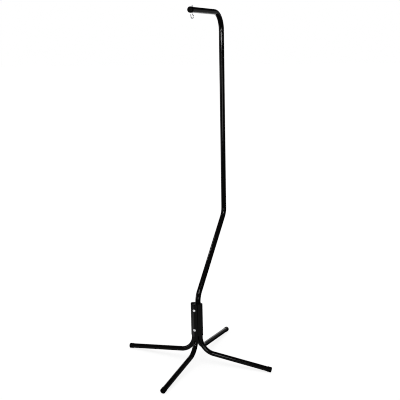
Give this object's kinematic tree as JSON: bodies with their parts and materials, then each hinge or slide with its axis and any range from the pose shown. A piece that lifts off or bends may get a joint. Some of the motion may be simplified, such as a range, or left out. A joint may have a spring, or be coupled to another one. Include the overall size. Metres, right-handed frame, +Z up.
{
  "type": "hanging stand",
  "caption": "Tall bent-tube hanging stand: spread legs bundled in a bolted hub sleeve, an offset mast and an overhead arm with a swivelling open hook.",
  "frame": {"origin": "on the hub's axis at floor level", "axes": "+Z up; the legs point along +X (right), +Y (back), -X (left) and -Y (front); the mast stands on the +Y side and its arm points along -Y, back over the hub"},
  "size_m": [0.8346, 0.8346, 1.8498],
  "materials": {
    "black_enamel": "gloss black enamel on steel tube",
    "black_plastic": "moulded black plastic, semi-gloss",
    "zinc_plate": "bright zinc plate"
  },
  "bodies": {
    "base": {"leg_right": "black_enamel", "leg_back": "black_enamel", "leg_left": "black_enamel", "leg_front": "black_enamel", "foot_cap_right": "black_plastic", "foot_cap_back": "black_plastic", "foot_cap_left": "black_plastic", "foot_cap_front": "black_plastic", "hub_sleeve": "black_enamel", "tube_plug_right": "black_plastic", "tube_plug_left": "black_plastic", "tube_plug_front": "black_plastic", "lower_pole": "black_enamel", "hub_bolt_upper": "zinc_plate", "hub_bolt_lower": "zinc_plate", "hub_washer_upper": "zinc_plate", "hub_washer_lower": "zinc_plate", "hub_nut_upper": "zinc_plate", "hub_nut_lower": "zinc_plate"},
    "mast": {"upper_pole": "black_enamel"},
    "arm": {"top_arm": "black_enamel", "arm_end_cap": "black_plastic"},
    "hook": {"hook": "zinc_plate", "hook_washer": "zinc_plate", "hook_nut": "zinc_plate"}
  },
  "joints": [
    {"name": "mast_turn", "type": "hinge", "parent": "base", "child": "mast", "pos_m": [0, 0.396, 0.925], "axis": [0, 0, 1], "continuous": true},
    {"name": "arm_turn", "type": "hinge", "parent": "mast", "child": "arm", "pos_m": [0, 0.396, 1.726], "axis": [0, 0, 1], "continuous": true},
    {"name": "hook_swivel", "type": "hinge", "parent": "arm", "child": "hook", "pos_m": [0, 0.0275, 1.827], "axis": [0, 0, 1], "continuous": true}
  ]
}
